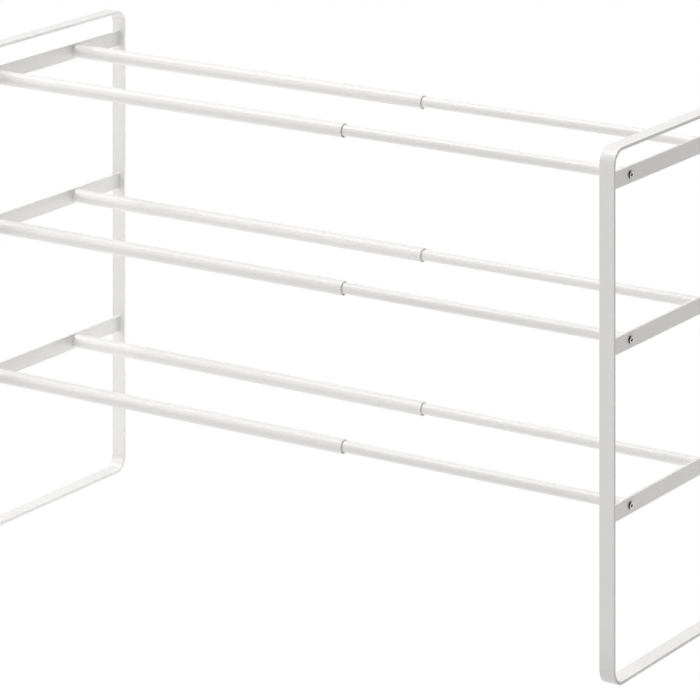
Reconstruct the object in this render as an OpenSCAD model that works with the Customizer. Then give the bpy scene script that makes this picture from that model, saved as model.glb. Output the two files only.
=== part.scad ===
// Expandable three-tier rod rack: two flat-bar side frames joined by telescoping round tubes.
// Millimetres. +X runs across the width, +Y from front to rear, +Z up.
// The origin is the centre of the footprint on the floor, at the rest width.

/* [Overall size] */
// Width over the two side frames at the rest position
rest_width = 760; // [600:1:798]
// Depth of a side frame, front to rear
frame_depth = 262; // [200:1:350]
// Height of a side frame
frame_height = 490; // [420:1:600]

/* [Side frame bar] */
// Width of the flat bar, measured across the rack
bar_width = 15.5; // [12:0.5:25]
// Thickness of the flat bar
bar_thickness = 3; // [2:0.5:6]
// Outside radius of the bent corners
corner_radius = 16; // [8:1:40]

/* [Cross bars] */
// Height of a cross bar standing on its edge
cross_bar_height = 15.5; // [12:0.5:25]
// Thickness of a cross bar
cross_bar_thickness = 3; // [2:0.5:6]
// Height of the bottom tier's cross-bar centre above the floor
bottom_tier_height = 155; // [60:1:200]
// Height of the middle tier's cross-bar centre above the floor
middle_tier_height = 307; // [210:0.5:360]
// Height of the top tier's cross-bar centre above the floor
top_tier_height = 458.5; // [370:0.5:570]

/* [Telescoping tubes] */
// Distance of the front tubes' centre line from the front of the frame
front_tube_inset = 41; // [20:1:80]
// Distance of the rear tubes' centre line from the front of the frame
rear_tube_inset = 183.5; // [120:0.5:240]
// Outside diameter of the outer tubes
outer_tube_diameter = 14.2; // [12:0.1:20]
// Outside diameter of the inner tubes
inner_tube_diameter = 11.1; // [9:0.1:17]
// Wall thickness of the outer tubes
outer_tube_wall = 1; // [0.6:0.1:1.5]
// Wall thickness of the inner tubes
inner_tube_wall = 0.8; // [0.6:0.1:1.5]
// Length of an outer tube, from the left cross bar to its open mouth
outer_tube_length = 430.5; // [300:0.5:460]
// How far an inner tube and its plug reach into the outer tube at rest
overlap_at_rest = 90; // [60:1:200]
// How far an inner tube sits above the centre line of its outer tube
inner_tube_rise = 0.35; // [0:0.05:0.5]

/* [Guide plugs] */
// Length of the plug's collar, which slides in the outer tube
plug_collar_length = 14; // [8:1:30]
// Length of the plug's spigot, pushed into the inner tube
plug_spigot_length = 12; // [6:1:25]
// Radial running clearance of the collar in the outer tube
plug_clearance = 0.05; // [0.02:0.01:0.1]

/* [Threaded inserts] */
// Length of the insert pressed into the end of each tube
insert_length = 14; // [8:1:25]

/* [Screws] */
// Thread diameter of the screws
screw_diameter = 4; // [3:0.5:6]
// Length of the screw shank under the head
screw_length = 14; // [8:1:20]
// Diameter of the screw head
screw_head_diameter = 6.8; // [5.5:0.1:11]
// Height of the screw head
screw_head_height = 1.9; // [1:0.1:3]
// Width of a slot of the cross recess
recess_width = 1.2; // [0.6:0.1:2]
// Length of a slot of the cross recess
recess_length = 3.8; // [2:0.1:6]
// Depth of the cross recess
recess_depth = 1.3; // [0.5:0.1:1.5]

/* [Colours] */
// Powder-coated steel
steel_color = "white"; // [white, gainsboro, silver]
// Plated screws and inserts
plated_color = "silver"; // [silver, gainsboro, darkgray]
// Plastic plugs
plug_color = "gainsboro"; // [gainsboro, white, dimgray]

/* [Hidden] */
$fn = 72;
// Every node of the assembly

// How far a cutting solid runs past the faces it opens
cut_overrun = 1;

// Positions across the width: each cross bar is centred on the width of its side loop
left_edge = -rest_width / 2;
right_edge = rest_width / 2;
cross_bar_setback = (bar_width - cross_bar_thickness) / 2;
left_cross_outer = left_edge + cross_bar_setback;
left_cross_inner = left_cross_outer + cross_bar_thickness;
right_cross_outer = right_edge - cross_bar_setback;
right_cross_inner = right_cross_outer - cross_bar_thickness;
outer_mouth = left_cross_inner + outer_tube_length;
plug_left = outer_mouth - overlap_at_rest;
inner_tube_left = plug_left + plug_collar_length;
inner_tube_length = right_cross_inner - inner_tube_left;

// Positions from front to rear
front_edge = -frame_depth / 2;
front_y = front_edge + front_tube_inset;
rear_y = front_edge + rear_tube_inset;
tube_ys = [front_y, rear_y];

// Heights of the cross-bar and outer-tube centres
tier_zs = [bottom_tier_height, middle_tier_height, top_tier_height];

// Round fits: press_gap is radial, the screw clearances are on the diameter
press_gap = 0.02;
hole_clearance = 0.4;
thread_clearance = 0.1;
outer_bore = outer_tube_diameter - 2 * outer_tube_wall;
inner_bore = inner_tube_diameter - 2 * inner_tube_wall;
hole_diameter = screw_diameter + hole_clearance;
insert_bore = screw_diameter;
shank_diameter = screw_diameter - thread_clearance;

// Guide plug, its wall measured in from the inner tube's bore
plug_wall = 1.5;
plug_length = plug_collar_length + plug_spigot_length;
collar_diameter = outer_bore - 2 * plug_clearance;
spigot_diameter = inner_bore - 2 * press_gap;
plug_bore = inner_bore - 2 * plug_wall;

// Screw head edge: insets from the rim and drops from the head's flat face
head_face_inset = 0.7;
head_shoulder_inset = 0.2;
head_shoulder_drop = 0.35;
head_rim_drop = 0.9;

// Tapered tip of the screw shank
tip_length = 0.6;
tip_diameter = shank_diameter - 1.2;

// Rounded rectangle centred on x, standing on y = 0
module rounded_outline(width, height, radius) {
    translate([-width / 2 + radius, 0]) square([width - 2 * radius, height]);
    translate([-width / 2, radius]) square([width, height - 2 * radius]);
    for (x = [-width / 2 + radius, width / 2 - radius], y = [radius, height - radius])
        translate([x, y]) circle(r = radius);
}

// Closed loop of flat bar standing across the depth, its left edge at x
module side_loop(x) {
    color(steel_color)
    translate([x, 0, 0])
    rotate([90, 0, 90])
    linear_extrude(height = bar_width)
    difference() {
        rounded_outline(frame_depth, frame_height, corner_radius);
        translate([0, bar_thickness])
            rounded_outline(frame_depth - 2 * bar_thickness,
                            frame_height - 2 * bar_thickness,
                            corner_radius - bar_thickness);
    }
}

// Flat bar on edge between the two uprights, its left face at x and its centre at height z,
// drilled for the tube screws at hole_rise above its centre
module cross_bar(x, z, hole_rise = 0) {
    color(steel_color)
    difference() {
        translate([x, front_edge + bar_thickness, z - cross_bar_height / 2])
            cube([cross_bar_thickness, frame_depth - 2 * bar_thickness, cross_bar_height]);
        for (y = tube_ys)
            translate([x - cut_overrun, y, z + hole_rise])
            rotate([0, 90, 0])
            cylinder(d = hole_diameter, h = cross_bar_thickness + 2 * cut_overrun);
    }
}

module left_cross_bar(z) cross_bar(left_cross_outer, z);
module right_cross_bar(z) cross_bar(right_cross_inner, z, inner_tube_rise);

// Hollow cylinder along +X, starting at x = 0
module sleeve(length, outside, bore) {
    rotate([0, 90, 0])
    difference() {
        cylinder(d = outside, h = length);
        translate([0, 0, -cut_overrun]) cylinder(d = bore, h = length + 2 * cut_overrun);
    }
}

// Outer tube, from the left cross bar to its open mouth
module outer_tube(y, z) {
    color(steel_color)
    translate([left_cross_inner, y, z])
    sleeve(outer_tube_length, outer_tube_diameter, outer_bore);
}

// Inner tube, from the plug's collar to the right cross bar
module inner_tube(y, z) {
    color(steel_color)
    translate([inner_tube_left, y, z + inner_tube_rise])
    sleeve(inner_tube_length, inner_tube_diameter, inner_bore);
}

// Plug in the hidden end of an inner tube: a collar running in the outer tube, and a spigot.
// After the rotation, local -X points up, so the spigot and bore follow the inner tube's rise.
module guide_plug(y, z) {
    color(plug_color)
    translate([plug_left, y, z])
    rotate([0, 90, 0])
    difference() {
        union() {
            cylinder(d = collar_diameter, h = plug_collar_length);
            translate([-inner_tube_rise, 0, 0]) cylinder(d = spigot_diameter, h = plug_length);
        }
        translate([-inner_tube_rise, 0, -cut_overrun])
            cylinder(d = plug_bore, h = plug_length + 2 * cut_overrun);
    }
}

// Threaded insert along +X, filling a tube's bore
module insert(tube_bore) sleeve(insert_length, tube_bore - 2 * press_gap, insert_bore);

// Low-head screw pointing along +Z, its head below z = 0 and its shank above
module screw() {
    head_radius = screw_head_diameter / 2;
    difference() {
        union() {
            rotate_extrude()
                polygon([
                    [0, -screw_head_height],
                    [head_radius - head_face_inset, -screw_head_height],
                    [head_radius - head_shoulder_inset, -screw_head_height + head_shoulder_drop],
                    [head_radius, -screw_head_height + head_rim_drop],
                    [head_radius, 0],
                    [0, 0]
                ]);
            cylinder(d = shank_diameter, h = screw_length - tip_length);
            translate([0, 0, screw_length - tip_length])
                cylinder(d1 = shank_diameter, d2 = tip_diameter, h = tip_length);
        }
        // Two crossed slots
        for (slot = [[recess_length, recess_width], [recess_width, recess_length]])
            translate([-slot[0] / 2, -slot[1] / 2, -screw_head_height - cut_overrun])
                cube([slot[0], slot[1], recess_depth + cut_overrun]);
    }
}

// Places the children at x on the centre line of all six tubes, raised by rise
module at_each_tube(x, rise = 0) {
    for (z = tier_zs, y = tube_ys)
        translate([x, y, z + rise]) children();
}

module left_side_loop() side_loop(left_edge);
module right_side_loop() side_loop(right_edge - bar_width);

module left_cross_bar_bottom() left_cross_bar(bottom_tier_height);
module left_cross_bar_middle() left_cross_bar(middle_tier_height);
module left_cross_bar_top() left_cross_bar(top_tier_height);
module right_cross_bar_bottom() right_cross_bar(bottom_tier_height);
module right_cross_bar_middle() right_cross_bar(middle_tier_height);
module right_cross_bar_top() right_cross_bar(top_tier_height);

module outer_tube_bottom_front() outer_tube(front_y, bottom_tier_height);
module outer_tube_bottom_rear() outer_tube(rear_y, bottom_tier_height);
module outer_tube_middle_front() outer_tube(front_y, middle_tier_height);
module outer_tube_middle_rear() outer_tube(rear_y, middle_tier_height);
module outer_tube_top_front() outer_tube(front_y, top_tier_height);
module outer_tube_top_rear() outer_tube(rear_y, top_tier_height);

module inner_tube_bottom_front() inner_tube(front_y, bottom_tier_height);
module inner_tube_bottom_rear() inner_tube(rear_y, bottom_tier_height);
module inner_tube_middle_front() inner_tube(front_y, middle_tier_height);
module inner_tube_middle_rear() inner_tube(rear_y, middle_tier_height);
module inner_tube_top_front() inner_tube(front_y, top_tier_height);
module inner_tube_top_rear() inner_tube(rear_y, top_tier_height);

module guide_plug_bottom_front() guide_plug(front_y, bottom_tier_height);
module guide_plug_bottom_rear() guide_plug(rear_y, bottom_tier_height);
module guide_plug_middle_front() guide_plug(front_y, middle_tier_height);
module guide_plug_middle_rear() guide_plug(rear_y, middle_tier_height);
module guide_plug_top_front() guide_plug(front_y, top_tier_height);
module guide_plug_top_rear() guide_plug(rear_y, top_tier_height);

// One threaded insert at the left end of every outer tube
module outer_tube_inserts() {
    color(plated_color)
    at_each_tube(left_cross_inner) insert(outer_bore);
}

// One threaded insert at the right end of every inner tube
module inner_tube_inserts() {
    color(plated_color)
    at_each_tube(right_cross_inner - insert_length, inner_tube_rise) insert(inner_bore);
}

// Screws through the left cross bars, heads on the outer face
module left_screws() {
    color(plated_color)
    at_each_tube(left_cross_outer) rotate([0, 90, 0]) screw();
}

// Screws through the right cross bars, heads on the outer face
module right_screws() {
    color(plated_color)
    at_each_tube(right_cross_outer, inner_tube_rise) rotate([0, -90, 0]) screw();
}

left_side_loop();
right_side_loop();
left_cross_bar_bottom();
left_cross_bar_middle();
left_cross_bar_top();
right_cross_bar_bottom();
right_cross_bar_middle();
right_cross_bar_top();
outer_tube_bottom_front();
outer_tube_bottom_rear();
outer_tube_middle_front();
outer_tube_middle_rear();
outer_tube_top_front();
outer_tube_top_rear();
inner_tube_bottom_front();
inner_tube_bottom_rear();
inner_tube_middle_front();
inner_tube_middle_rear();
inner_tube_top_front();
inner_tube_top_rear();
guide_plug_bottom_front();
guide_plug_bottom_rear();
guide_plug_middle_front();
guide_plug_middle_rear();
guide_plug_top_front();
guide_plug_top_rear();
outer_tube_inserts();
inner_tube_inserts();
left_screws();
right_screws();
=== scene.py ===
import math

import bpy
import numpy as np
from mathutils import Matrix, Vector


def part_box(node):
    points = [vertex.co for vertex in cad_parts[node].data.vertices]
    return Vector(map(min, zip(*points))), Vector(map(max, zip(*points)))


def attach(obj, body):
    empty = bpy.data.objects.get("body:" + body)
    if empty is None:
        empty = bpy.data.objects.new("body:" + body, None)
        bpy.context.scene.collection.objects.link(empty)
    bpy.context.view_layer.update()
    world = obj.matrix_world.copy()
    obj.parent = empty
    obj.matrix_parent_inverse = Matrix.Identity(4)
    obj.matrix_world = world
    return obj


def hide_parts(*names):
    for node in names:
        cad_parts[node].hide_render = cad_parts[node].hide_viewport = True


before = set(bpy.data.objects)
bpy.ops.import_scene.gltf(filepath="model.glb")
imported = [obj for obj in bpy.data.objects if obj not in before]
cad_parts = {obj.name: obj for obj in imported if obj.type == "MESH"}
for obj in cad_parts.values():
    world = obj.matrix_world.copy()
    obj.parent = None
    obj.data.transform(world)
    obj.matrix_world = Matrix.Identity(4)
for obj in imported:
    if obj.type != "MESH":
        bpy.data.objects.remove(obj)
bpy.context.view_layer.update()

MM = 0.001
TIERS = ("bottom", "middle", "top")
ENDS = ("front", "rear")
SIDES = ("left", "right")


# ---------------------------------------------------------------- mesh building

class Shell:
    """A closed mesh with exact shading normals and an 'edge' value on each point."""

    def __init__(self):
        self.points, self.edges, self.faces, self.normals = [], [], [], []
        self.count = 0

    def _add(self, P, E):
        start = self.count
        self.points.append(np.asarray(P, float).reshape(-1, 3))
        self.edges.append(np.asarray(E, float).reshape(-1))
        self.count += len(self.points[-1])
        return start

    def grid(self, P, N, E, close_i=False, close_j=False):
        """Quads over P[i, j], with a normal N[i, j] at each point. Returns the point indices."""
        P, N = np.asarray(P, float), np.asarray(N, float)
        rows, cols = P.shape[:2]
        start = self._add(P, np.broadcast_to(E, (rows, cols)))
        index = start + np.arange(rows * cols).reshape(rows, cols)
        a = index if not close_i else np.vstack([index, index[:1]])
        a = a if not close_j else np.hstack([a, a[:, :1]])
        quads = np.stack([a[:-1, :-1], a[1:, :-1], a[1:, 1:], a[:-1, 1:]], -1).reshape(-1, 4)
        flat_p, flat_n = P.reshape(-1, 3), N.reshape(-1, 3)
        q = quads - start
        face_n = np.cross(flat_p[q[:, 2]] - flat_p[q[:, 0]], flat_p[q[:, 3]] - flat_p[q[:, 1]])
        if (face_n * flat_n[q].sum(1)).sum() < 0:
            quads, q = quads[:, ::-1], q[:, ::-1]
        self.faces += [tuple(int(k) for k in f) for f in quads]
        self.normals.append(flat_n[q].reshape(-1, 3))
        return index

    def cap(self, ring, normal):
        """One flat face over the points of ring, facing normal."""
        pts = np.vstack(self.points)[ring]
        area = sum(np.cross(pts[k] - pts[0], pts[(k + 1) % len(ring)] - pts[0]) for k in range(len(ring)))
        ring = list(ring) if np.dot(area, normal) > 0 else list(ring)[::-1]
        self.faces.append(tuple(int(k) for k in ring))
        self.normals.append(np.tile(np.asarray(normal, float), (len(ring), 1)))

    def object(self, name):
        mesh = bpy.data.meshes.new(name)
        mesh.from_pydata(np.vstack(self.points).tolist(), [], self.faces)
        mesh.polygons.foreach_set("use_smooth", [True] * len(mesh.polygons))
        mesh.attributes.new("edge", "FLOAT", "POINT").data.foreach_set("value", np.concatenate(self.edges))
        mesh.normals_split_custom_set(np.vstack(self.normals).tolist())
        mesh.update()
        obj = bpy.data.objects.new(name, mesh)
        bpy.context.scene.collection.objects.link(obj)
        return obj


def rounded_rect(w, h, r, seg):
    """Points, outward normals and edge values round a w by h rectangle centred on 0."""
    pts, nrm, edge = [], [], []
    for cx, cy, a0 in ((w / 2 - r, -h / 2 + r, -90), (w / 2 - r, h / 2 - r, 0),
                       (-w / 2 + r, h / 2 - r, 90), (-w / 2 + r, -h / 2 + r, 180)):
        for k in range(seg + 1):
            a = math.radians(a0 + 90 * k / seg)
            n = (math.cos(a), math.sin(a))
            pts.append((cx + r * n[0], cy + r * n[1]))
            nrm.append(n)
            edge.append(math.sin(math.pi * k / seg))
    return np.array(pts), np.array(nrm), np.array(edge)


def side_loop(name, node, edge_r=0.3 * MM, corner_r=16 * MM):
    """The bent flat bar: a closed loop in the YZ plane with softly rounded bar edges."""
    lo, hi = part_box(node)
    bar_w, thick = hi.x - lo.x, 3 * MM
    path, path_n, _ = rounded_rect(hi.y - lo.y, hi.z - lo.z, corner_r, 20)
    path = path + np.array([(lo.y + hi.y) / 2, (lo.z + hi.z) / 2])
    section, section_n, edge = rounded_rect(thick, bar_w, edge_r, 6)
    section = section + np.array([-thick / 2, (lo.x + hi.x) / 2])
    P = np.zeros((len(path), len(section), 3))
    N = np.zeros_like(P)
    P[..., 0] = section[None, :, 1]
    N[..., 0] = section_n[None, :, 1]
    for axis in (0, 1):
        P[..., 1 + axis] = path[:, None, axis] + path_n[:, None, axis] * section[None, :, 0]
        N[..., 1 + axis] = path_n[:, None, axis] * section_n[None, :, 0]
    shell = Shell()
    shell.grid(P, N, edge[None, :], close_i=True, close_j=True)
    obj = shell.object(name)
    # Mask of the bar's narrow side faces, where the coat takes a painted tone: painted light on the left loop, painted
    # shade on the right.
    painted_light_faces = np.tile(np.abs(section_n[:, 1]) ** 4, len(path))
    obj.data.attributes.new("painted_light_faces", "FLOAT", "POINT").data.foreach_set("value", painted_light_faces)
    return obj


def cross_bar(name, node, edge_r=0.3 * MM):
    lo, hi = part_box(node)
    section, section_n, edge = rounded_rect(hi.x - lo.x, hi.z - lo.z, edge_r, 6)
    section = section + np.array([(lo.x + hi.x) / 2, (lo.z + hi.z) / 2])
    ys = np.linspace(lo.y, hi.y, 9)
    P = np.zeros((len(ys), len(section), 3))
    N = np.zeros_like(P)
    P[..., 0], P[..., 1], P[..., 2] = section[None, :, 0], ys[:, None], section[None, :, 1]
    N[..., 0], N[..., 2] = section_n[None, :, 0], section_n[None, :, 1]
    shell = Shell()
    index = shell.grid(P, N, edge[None, :], close_j=True)
    shell.cap(index[0], (0, -1, 0))
    shell.cap(index[-1], (0, 1, 0))
    return shell.object(name)


def tube(name, node, wall, lip=0.28 * MM, around=96):
    """A hollow round tube along X with rolled lips at both ends."""
    lo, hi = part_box(node)
    outer, inner = (hi.z - lo.z) / 2, (hi.z - lo.z) / 2 - wall
    cy, cz = (lo.y + hi.y) / 2, (lo.z + hi.z) / 2
    section, section_n, edge = rounded_rect(hi.x - lo.x, wall, lip, 6)
    section = section + np.array([(lo.x + hi.x) / 2, (outer + inner) / 2])
    # extra rings along the length keep the long quads short
    keep_p, keep_n, keep_e = [], [], []
    for k in range(len(section)):
        keep_p.append(section[k]); keep_n.append(section_n[k]); keep_e.append(edge[k])
        nxt = section[(k + 1) % len(section)]
        if abs(nxt[0] - section[k][0]) > 50 * MM:
            for f in np.linspace(0, 1, 14)[1:-1]:
                keep_p.append(section[k] * (1 - f) + nxt * f)
                keep_n.append(section_n[k]); keep_e.append(0)
    section, section_n, edge = np.array(keep_p), np.array(keep_n), np.array(keep_e)
    a = np.arange(around) * 2 * math.pi / around
    P = np.zeros((around, len(section), 3))
    N = np.zeros_like(P)
    P[..., 0] = section[None, :, 0]
    P[..., 1] = cy + np.cos(a)[:, None] * section[None, :, 1]
    P[..., 2] = cz + np.sin(a)[:, None] * section[None, :, 1]
    N[..., 0] = section_n[None, :, 0]
    N[..., 1] = np.cos(a)[:, None] * section_n[None, :, 1]
    N[..., 2] = np.sin(a)[:, None] * section_n[None, :, 1]
    shell = Shell()
    shell.grid(P, N, edge[None, :], close_i=True, close_j=True)
    return shell.object(name)


def weld_beads(name, side):
    """A small hollow fillet round both ends of each cross bar, where it meets the side loop."""
    shell = Shell()
    leg = 1.3 * MM
    for t, tier in enumerate(TIERS):
        lo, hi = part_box(f"{side}_cross_bar_{tier}")
        ring, ring_n, _ = rounded_rect(hi.x - lo.x, hi.z - lo.z, 0.3 * MM, 6)
        # even steps round the ring, so that the ripples of the bead are even too
        closed = np.vstack([ring, ring[:1]])
        closed_n = np.vstack([ring_n, ring_n[:1]])
        length = np.concatenate([[0], np.cumsum(np.hypot(*np.diff(closed, axis=0).T))])
        s = np.linspace(0, length[-1], 150, endpoint=False)
        pts = np.stack([np.interp(s, length, closed[:, k]) for k in (0, 1)], 1)
        nrm = np.stack([np.interp(s, length, closed_n[:, k]) for k in (0, 1)], 1)
        nrm /= np.linalg.norm(nrm, axis=1)[:, None]
        for e, (y, away) in enumerate(((lo.y, 1), (hi.y, -1))):
            phase = 1.7 * t + 0.9 * e
            ripple = 1 + 0.05 * np.sin(s / (1.5 * MM) * 2 * math.pi + phase) + 0.10 * np.sin(s / (9 * MM) * 2 * math.pi + 2 * phase)
            bend = np.radians(np.linspace(0, 90, 9))
            prof = [(-0.15, 1.0)] + [(1 - math.cos(b), 1 - math.sin(b)) for b in bend] + [(1.0, -0.12), (-0.15, -0.12)]
            facing = [(-0.7, 0.7)] + [(math.cos(b), math.sin(b)) for b in bend] + [(0.7, -0.7), (-0.7, -0.7)]
            prof, facing = np.array(prof), np.array(facing)
            size = (leg * ripple)[:, None]
            out, along = prof[None, :, 0] * size, prof[None, :, 1] * size
            P = np.zeros((len(s), len(prof), 3))
            P[..., 0] = (lo.x + hi.x) / 2 + pts[:, None, 0] + nrm[:, None, 0] * out
            P[..., 2] = (lo.z + hi.z) / 2 + pts[:, None, 1] + nrm[:, None, 1] * out
            P[..., 1] = y + away * along
            N = np.zeros_like(P)
            N[..., 0] = nrm[:, None, 0] * facing[None, :, 0]
            N[..., 2] = nrm[:, None, 1] * facing[None, :, 0]
            N[..., 1] = away * facing[None, :, 1]
            shell.grid(P, N, 0.5, close_i=True, close_j=True)
    return shell.object(name)


def screws(name, side, head_r=3.4 * MM, head_h=1.9 * MM, shank_r=1.95 * MM, shank_l=14 * MM, around=96):
    """Low-head cross-recess screws through one side's cross bars, head outwards."""
    out = 1 if side == "right" else -1
    turn = (8, 57, 14, 78, 3, 40)
    a = np.arange(around) * 2 * math.pi / around
    # profile from the middle of the head, over the rim, down the shank to the tip
    rim = 0.5 * MM
    top = [(r, head_h - 0.22 * MM * (r / (head_r - rim)) ** 2) for r in np.linspace(0.04 * MM, head_r - rim, 34)]
    z_rim = top[-1][1] - rim
    arc = [(head_r - rim + rim * math.sin(b), z_rim + rim * math.cos(b)) for b in np.radians((15, 30, 45, 60, 75, 90))]
    rest = [(head_r, 0.16 * MM), (head_r - 0.16 * MM, 0), (shank_r, 0)]
    shank = [(shank_r, -f * (shank_l - 0.6 * MM)) for f in (0.02, 0.5, 1.0)] + [(shank_r - 0.6 * MM, -shank_l)]
    prof = np.array(top + arc + rest + shank)
    shell = Shell()
    k = 0
    for tier in TIERS:
        bar_lo, bar_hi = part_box(f"{side}_cross_bar_{tier}")
        for end in ENDS:
            lo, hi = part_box(f"{'inner' if side == 'right' else 'outer'}_tube_{tier}_{end}")
            cy, cz = (lo.y + hi.y) / 2, (lo.z + hi.z) / 2
            face = bar_hi.x if side == "right" else bar_lo.x
            u = prof[None, :, 0] * np.cos(a)[:, None]
            v = prof[None, :, 0] * np.sin(a)[:, None]
            h = np.broadcast_to(prof[None, :, 1], u.shape).copy()
            turned = math.radians(turn[k])
            uu = u * math.cos(turned) + v * math.sin(turned)
            vv = -u * math.sin(turned) + v * math.cos(turned)
            depth = np.zeros_like(h)
            for p, q in ((uu, vv), (vv, uu)):
                arm = np.minimum((1.95 * MM - np.abs(p)) / 0.60, (0.66 * MM - np.abs(q)) / 0.20)
                depth = np.maximum(depth, np.clip(arm, 0, 1.5 * MM))
            on_top = np.arange(len(prof)) < len(top)
            h = h - depth * on_top[None, :]
            P = np.stack([face + out * h, cy + u, cz + v], -1)
            # vertex normals from the surface itself, averaged over neighbours
            du = np.roll(P, -1, 0) - np.roll(P, 1, 0)
            dv = np.gradient(P, axis=1)
            N = np.cross(du, dv)
            N /= np.maximum(np.linalg.norm(N, axis=2), 1e-12)[..., None]
            if (N[:, 20, 0] * out).sum() < 0:
                N = -N
            index = shell.grid(P, N, 0.0, close_i=True)
            shell.cap(index[:, 0], (out, 0, 0))
            shell.cap(index[:, -1], (-out, 0, 0))
            k += 1
    obj = shell.object(name)
    return obj


# ---------------------------------------------------------------- materials

class Nodes:
    def __init__(self, name):
        self.mat = bpy.data.materials.new(name)
        self.mat.use_nodes = True
        self.tree = self.mat.node_tree
        self.tree.nodes.clear()

    def add(self, kind, links=None, **values):
        node = self.tree.nodes.new(kind)
        for key, value in values.items():
            setattr(node, key, value)
        for key, value in (links or {}).items():
            socket = node.inputs[key]
            if isinstance(value, bpy.types.NodeSocket):
                self.tree.links.new(value, socket)
            else:
                socket.default_value = value
        return node

    def math(self, op, a, b=0.0, c=0.0, clamp=False):
        return self.add("ShaderNodeMath", {0: a, 1: b, 2: c}, operation=op, use_clamp=clamp).outputs[0]

    def ramp(self, value, lo, hi, out_lo, out_hi):
        return self.add("ShaderNodeMapRange", {"Value": value, "From Min": lo, "From Max": hi,
                                               "To Min": out_lo, "To Max": out_hi}).outputs[0]

    def noise(self, vector, scale, detail=2.0, rough=0.5):
        return self.add("ShaderNodeTexNoise", {"Vector": vector, "Scale": scale, "Detail": detail,
                                               "Roughness": rough}).outputs["Fac"]

    def scaled(self, vector, scale):
        return self.add("ShaderNodeVectorMath", {0: vector, 1: scale}, operation="MULTIPLY").outputs[0]

    def mix(self, factor, a, b):
        node = self.add("ShaderNodeMix", data_type="RGBA")
        for socket, value in ((node.inputs[0], factor), (node.inputs[6], a), (node.inputs[7], b)):
            if isinstance(value, bpy.types.NodeSocket):
                self.tree.links.new(value, socket)
            else:
                socket.default_value = value
        return node.outputs[2]

    def finish(self, shader):
        out = self.add("ShaderNodeOutputMaterial", {"Surface": shader})
        return self.mat


def powder_coat(name, streak, painted_light_shade_tone=(0.85, 0.84, 0.83, 1), low=(0.825, 0.817, 0.806, 1), high=(0.868, 0.861, 0.851, 1)):
    """Satin white powder coat: fine orange peel, faint drawn streaks of the bar beneath, thinner coat on edges."""
    n = Nodes(name)
    where = n.add("ShaderNodeTexCoord").outputs["Object"]
    edge = n.add("ShaderNodeAttribute", attribute_name="edge").outputs["Fac"]
    broad = n.noise(where, 14.0, 3.0)
    cloud = n.noise(where, 110.0, 3.0)
    streaks = n.noise(n.scaled(where, streak), 1.0, 3.0, 0.6)
    peel = n.noise(where, 620.0, 2.0, 0.5)
    grain = n.noise(where, 2600.0, 2.0, 0.6)
    tone = n.math("ADD", n.ramp(broad, 0.3, 0.7, -0.010, 0.010), n.ramp(cloud, 0.3, 0.7, -0.008, 0.008))
    tone = n.math("ADD", tone, n.ramp(streaks, 0.3, 0.7, -0.012, 0.012))
    tone = n.math("ADD", tone, n.ramp(peel, 0.3, 0.7, -0.006, 0.006))
    tone = n.math("ADD", tone, 0.5, clamp=True)
    colour = n.mix(n.ramp(tone, 0.46, 0.54, 0.0, 1.0), low, high)
    worn = n.math("MULTIPLY", edge, n.ramp(n.noise(where, 240.0, 3.0), 0.42, 0.68, 0.0, 1.0), clamp=True)
    colour = n.mix(n.math("MULTIPLY", worn, 0.35), colour, (0.90, 0.90, 0.90, 1))
    # Painted light and shade: the loops' narrow side faces are pushed to a lighter tone on the left loop and a darker
    # tone on the right, standing in for how the light falls on them.
    painted_light_faces = n.add("ShaderNodeAttribute", attribute_name="painted_light_faces").outputs["Fac"]
    colour = n.mix(n.math("MULTIPLY", painted_light_faces, n.ramp(cloud, 0.3, 0.7, 0.9, 1.0)), colour, painted_light_shade_tone)
    rough = n.math("ADD", n.ramp(cloud, 0.3, 0.7, 0.29, 0.35), n.math("MULTIPLY", worn, -0.08))
    bump = n.add("ShaderNodeBump", {"Strength": 0.22, "Distance": 0.00012, "Height": peel}).outputs[0]
    bump = n.add("ShaderNodeBump", {"Strength": 0.18, "Distance": 0.00003, "Height": grain, "Normal": bump}).outputs[0]
    bump = n.add("ShaderNodeBump", {"Strength": 0.12, "Distance": 0.00008, "Height": streaks, "Normal": bump}).outputs[0]
    shader = n.add("ShaderNodeBsdfPrincipled", {
        "Base Color": colour, "Roughness": rough, "Normal": bump, "IOR": 1.47,
        "Coat Weight": 0.08, "Coat Roughness": 0.25}).outputs[0]
    return n.finish(shader)


def plated_steel(name):
    """Bright zinc plate: turned rings, cloudy passivation, painted shade in the recess and a painted dark reflection
    round the sides.
    """
    n = Nodes(name)
    where = n.add("ShaderNodeTexCoord").outputs["Object"]
    facing = n.add("ShaderNodeSeparateXYZ", {0: n.add("ShaderNodeNewGeometry").outputs["True Normal"]}).outputs[0]
    flat = n.math("POWER", n.math("ABSOLUTE", facing), 2.0)
    cloud = n.noise(where, 900.0, 4.0, 0.6)
    fine = n.noise(n.scaled(where, (400.0, 5200.0, 5200.0)), 1.0, 2.0)
    bright = n.mix(cloud, (0.62, 0.63, 0.66, 1), (0.80, 0.80, 0.80, 1))
    # Painted reflection: faces that do not look along X (the sides of the head and the shank) are painted near black,
    # standing in for dark surroundings reflected in the plating.
    colour = n.mix(n.ramp(flat, 0.25, 0.85, 0.0, 1.0), (0.035, 0.035, 0.038, 1), bright)
    # Painted shade: the cross recess and the gap under the head go near black by ambient occlusion.
    recess_shade = n.add("ShaderNodeAmbientOcclusion", {"Distance": 0.0018}, samples=6).outputs["AO"]
    colour = n.mix(n.ramp(recess_shade, 0.60, 0.98, 0.0, 1.0), (0.01, 0.01, 0.012, 1), colour)
    bump = n.add("ShaderNodeBump", {"Strength": 0.15, "Distance": 0.00003, "Height": fine}).outputs[0]
    shader = n.add("ShaderNodeBsdfPrincipled", {
        "Base Color": colour, "Metallic": 0.85, "Roughness": n.ramp(cloud, 0.3, 0.7, 0.28, 0.42), "Normal": bump}).outputs[0]
    return n.finish(shader)


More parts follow.
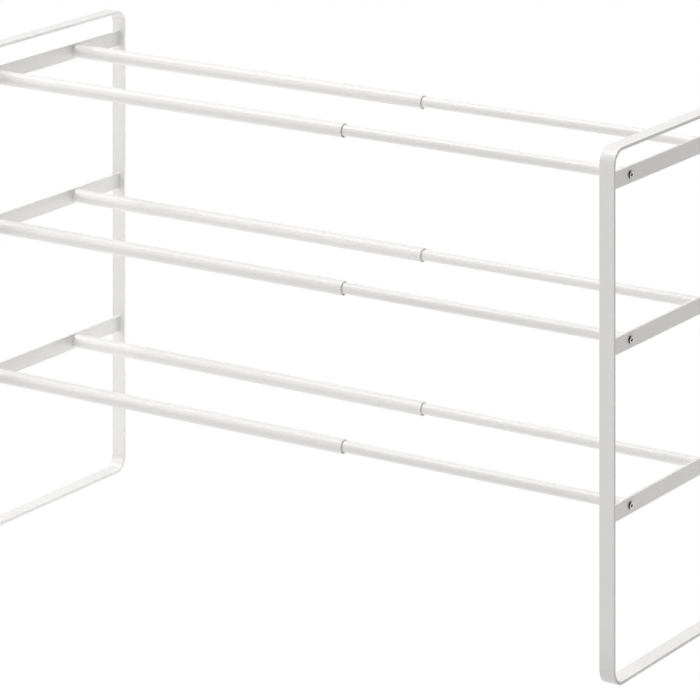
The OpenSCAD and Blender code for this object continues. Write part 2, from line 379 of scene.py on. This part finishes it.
def insert_steel(name):
    n = Nodes(name)
    where = n.add("ShaderNodeTexCoord").outputs["Object"]
    rings = n.noise(n.scaled(where, (3000.0, 200.0, 200.0)), 1.0, 2.0)
    cloud = n.noise(where, 500.0, 3.0)
    colour = n.mix(cloud, (0.52, 0.53, 0.55, 1), (0.70, 0.70, 0.70, 1))
    bump = n.add("ShaderNodeBump", {"Strength": 0.3, "Distance": 0.00004, "Height": rings}).outputs[0]
    shader = n.add("ShaderNodeBsdfPrincipled", {
        "Base Color": colour, "Metallic": 1.0, "Roughness": n.ramp(cloud, 0.3, 0.7, 0.3, 0.45), "Normal": bump}).outputs[0]
    return n.finish(shader)


def plug_plastic(name):
    n = Nodes(name)
    where = n.add("ShaderNodeTexCoord").outputs["Object"]
    cloud = n.noise(where, 300.0, 3.0)
    grain = n.noise(where, 3500.0, 2.0)
    colour = n.mix(cloud, (0.72, 0.72, 0.71, 1), (0.80, 0.80, 0.79, 1))
    bump = n.add("ShaderNodeBump", {"Strength": 0.3, "Distance": 0.00004, "Height": grain}).outputs[0]
    shader = n.add("ShaderNodeBsdfPrincipled", {
        "Base Color": colour, "Roughness": n.ramp(grain, 0.3, 0.7, 0.5, 0.62), "Normal": bump}).outputs[0]
    return n.finish(shader)


# The left loop's narrow side faces get painted light (a lighter tone), the right loop's get painted shade (a darker
# tone).
coat_loop = {
    "left": powder_coat("powder_coat_left_loop_painted_light", (700.0, 60.0, 60.0), (0.95, 0.95, 0.94, 1)),
    "right": powder_coat("powder_coat_right_loop_painted_shade", (700.0, 60.0, 60.0), (0.70, 0.695, 0.685, 1)),
}
# The cross bars' coat (also on the weld beads) is a warmer copy of the loop coat: a painted warm tint standing in for
# the warmer light in shade on their faces.
coat_cross_warm_shade = powder_coat("powder_coat_cross_bar_warm_shade", (700.0, 25.0, 700.0),
                         low=(0.825, 0.809, 0.788, 1), high=(0.868, 0.852, 0.832, 1))
coat_tube = powder_coat("powder_coat_tube", (25.0, 700.0, 700.0))
plate = plated_steel("plated_screw")
insert = insert_steel("plated_insert")
plastic = plug_plastic("moulded_plug")


def dress(obj, material, slot, body, *nodes):
    obj.data.materials.clear()
    obj.data.materials.append(material)
    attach(obj, body)
    if nodes:
        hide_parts(*nodes)
    return obj


# ---------------------------------------------------------------- pieces

for side in SIDES:
    body = f"{side}_half"
    dress(side_loop(f"{side}_loop_coated", f"{side}_side_loop"), coat_loop[side],
          "white_powder_coat", body, f"{side}_side_loop")
    for tier in TIERS:
        node = f"{side}_cross_bar_{tier}"
        dress(cross_bar(f"{node}_coated", node), coat_cross_warm_shade, "white_powder_coat", body, node)
    dress(weld_beads(f"{side}_weld_beads", side), coat_cross_warm_shade, "white_powder_coat", body)
    dress(screws(f"{side}_screws_plated", side), plate, "screw_steel", body, f"{side}_screws")
    kind, wall = ("outer", 1.0 * MM) if side == "left" else ("inner", 0.8 * MM)
    for tier in TIERS:
        for end in ENDS:
            node = f"{kind}_tube_{tier}_{end}"
            dress(tube(f"{node}_coated", node, wall), coat_tube, "white_powder_coat", body, node)

for node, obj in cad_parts.items():
    if node.startswith("guide_plug"):
        finish = plastic
    elif node.endswith("_inserts"):
        finish = insert
    else:
        continue
    obj.data.materials.clear()
    obj.data.materials.append(finish)


# ---------------------------------------------------------------- floor, light and camera

# Soft surroundings: (direction, sharpness, strength), brightest along each direction
SKY = (
    ((-0.53, -0.20, 0.83), 32, 5.70),  # key softbox, high on the left
    ((0, 0, 1), 16, 3.25),             # overhead
    ((0, 1, 1), 4, 1.13),              # high behind
    ((0, -1, 0.1), 4, 0.43),           # front
    ((-0.53, 0.81, 0.2), 8, 0.24),     # low behind on the left
    ((-1, 0, 0.2), 4, 0.28),           # left
)
# Area lights: name, centre, aimed at, width, height, watts
LIGHTS = (
    ("left_front", (-1.4, -1.2, 0.9), (-0.2, 0.0, 0.3), 1.0, 1.0, 8.8),
    ("overhead", (0.0, 0.0, 1.5), (0.0, 0.0, 0.3), 1.2, 1.0, 1.6),
)
FLOOR_GLOW = 0.95
FLOOR_BEHIND = 1.6
FLOOR_SHINE = 0.7
FOOT_SHADE = 0.27
SKY_DIM = 0.55  # seen from above, so that the top faces are shaded too
FLOOR_DIM = 0.45  # seen from behind, so that the rear faces are shaded too

floor_mesh = bpy.data.meshes.new("floor")
floor_mesh.from_pydata([(-8, -8, 0), (8, -8, 0), (8, 8, 0), (-8, 8, 0)], [], [(0, 1, 2, 3)])
floor = bpy.data.objects.new("floor", floor_mesh)
floor.location.z = -0.0004
bpy.context.scene.collection.objects.link(floor)
# A white sweep: plain white to the camera, and a soft light from below, brightest behind the rack
n = Nodes("pale_floor")
camera_ray = n.add("ShaderNodeLightPath").outputs["Is Camera Ray"]
spot = n.add("ShaderNodeSeparateXYZ", {0: n.add("ShaderNodeNewGeometry").outputs["Position"]}).outputs
feet = n.math("ADD", n.ramp(spot[0], -0.37, -0.31, 0.22, 0.0), n.ramp(spot[0], 0.31, 0.37, 0.0, 0.07))
feet = n.math("MULTIPLY", feet, n.ramp(spot[1], -0.20, -0.15, 0.0, 1.0))
behind = n.math("MAXIMUM", feet, n.ramp(spot[1], 0.15, 0.25, 0.0, 1.0))
behind = n.math("MULTIPLY", behind, n.ramp(n.math("ABSOLUTE", spot[0]), 0.45, 0.55, 1.0, 0.0))
from_behind = n.add("ShaderNodeValue").outputs[0]  # 0 with the camera in front, 1 with it behind the rack
behind = n.math("MULTIPLY", behind, n.ramp(from_behind, 0.0, 1.0, 1.0, 0.0))
# Shade on the floor in front of and under each front foot
shade = n.math("MULTIPLY", n.ramp(spot[1], -0.40, -0.17, 0.0, 1.0), n.ramp(spot[1], -0.12, -0.10, 1.0, 0.0))
across = n.math("ABSOLUTE", n.math("SUBTRACT", n.math("ABSOLUTE", spot[0]), 0.372))
shade = n.math("MULTIPLY_ADD", n.math("MULTIPLY", shade, n.ramp(across, 0.02, 0.05, 1.0, 0.0)), -FOOT_SHADE, 1.0)
seen = n.add("ShaderNodeEmission", {"Color": (1, 1, 1, 1), "Strength": 1.0}).outputs[0]
shiny = n.add("ShaderNodeLightPath").outputs["Is Glossy Ray"]
glow = n.add("ShaderNodeEmission", {
    "Color": (1, 1, 1, 1), "Strength": n.math("MULTIPLY", shade, n.math(
        "MULTIPLY_ADD", behind, n.ramp(shiny, 0.0, 1.0, FLOOR_BEHIND, FLOOR_SHINE),
        n.ramp(from_behind, 0.0, 1.0, FLOOR_GLOW, FLOOR_DIM)))}).outputs[0]
sweep = n.finish(n.add("ShaderNodeMixShader", {0: camera_ray, 1: glow, 2: seen}).outputs[0])
sweep.cycles.emission_sampling = "NONE"  # too wide and too near to be worth sampling as a lamp
floor_mesh.materials.append(sweep)

world = bpy.data.worlds.new("soft_surroundings")
world.use_nodes = True
bpy.context.scene.world = world
w = Nodes.__new__(Nodes)
w.tree = world.node_tree
w.tree.nodes.clear()
direction = w.add("ShaderNodeTexCoord").outputs["Generated"]
total = None
for axis, power, weight in SKY:
    along = w.add("ShaderNodeVectorMath", {0: direction, 1: Vector(axis).normalized()},
                  operation="DOT_PRODUCT").outputs["Value"]
    lobe = w.math("MULTIPLY", w.math("POWER", w.math("MAXIMUM", along, 0.0), power), weight)
    total = lobe if total is None else w.math("ADD", total, lobe)
from_above = w.add("ShaderNodeValue").outputs[0]  # 1 with the camera high above the rack
total = w.math("MULTIPLY", total, w.ramp(from_above, 0.0, 1.0, 1.0, SKY_DIM))
camera_ray = w.add("ShaderNodeLightPath").outputs["Is Camera Ray"]
lit = w.add("ShaderNodeBackground", {"Color": (1, 1, 1, 1), "Strength": total}).outputs[0]
white = w.add("ShaderNodeBackground", {"Color": (1, 1, 1, 1), "Strength": 1.0}).outputs[0]
w.add("ShaderNodeOutputWorld", {"Surface": w.add("ShaderNodeMixShader", {0: camera_ray, 1: lit, 2: white}).outputs[0]})

for name, centre, target, width, height, power in LIGHTS:
    data = bpy.data.lights.new(name, "AREA")
    data.shape, data.size, data.size_y, data.energy = "RECTANGLE", width, height, power
    lamp = bpy.data.objects.new(name, data)
    lamp.location = centre
    lamp.rotation_euler = (Vector(target) - Vector(centre)).to_track_quat("-Z", "Y").to_euler()
    bpy.context.scene.collection.objects.link(lamp)

# A level camera whose lens is shifted down, so that the uprights stay parallel
cam_data = bpy.data.cameras.new("camera")
cam = bpy.data.objects.new("camera", cam_data)
bpy.context.scene.collection.objects.link(cam)
bpy.context.scene.camera = cam
CAM_X = 2.20369
cam.location = (CAM_X, -3.34043, 1.37359)
cam.rotation_euler = (math.radians(90), 0, math.radians(33.331))
cam_data.sensor_fit = "HORIZONTAL"
cam_data.sensor_width = 36.0
cam_data.lens = 208.559
cam_data.clip_start, cam_data.clip_end = 0.05, 50.0
cam_data.shift_y = -1.67475
# The shift belongs to this one place: it lets go when the camera stands anywhere else
shift = cam_data.driver_add("shift_y").driver
shift.type = "SCRIPTED"
var = shift.variables.new()
var.name = "x"
var.targets[0].id = cam
var.targets[0].data_path = "location[0]"
shift.expression = "-1.67475 if abs(x - 2.20369) < 0.0005 else 0"

# The light is set for the front: the floor dims as the camera goes behind, and the sky as it goes above
for level, axis, expression in ((from_behind, 1, "clamp(y)"), (from_above, 2, "clamp((y - 3) / 2)")):
    dim = level.driver_add("default_value").driver
    dim.type = "SCRIPTED"
    var = dim.variables.new()
    var.name = "y"
    var.targets[0].id = cam
    var.targets[0].data_path = f"location[{axis}]"
    dim.expression = expression

scene = bpy.context.scene
scene.view_settings.view_transform = "Standard"
scene.view_settings.look = "None"
scene.view_settings.exposure = 0.0
scene.view_settings.gamma = 1.0
scene.cycles.use_denoising = True
scene.cycles.max_bounces = 8
scene.cycles.denoising_prefilter = "FAST"
scene.cycles.use_light_tree = False
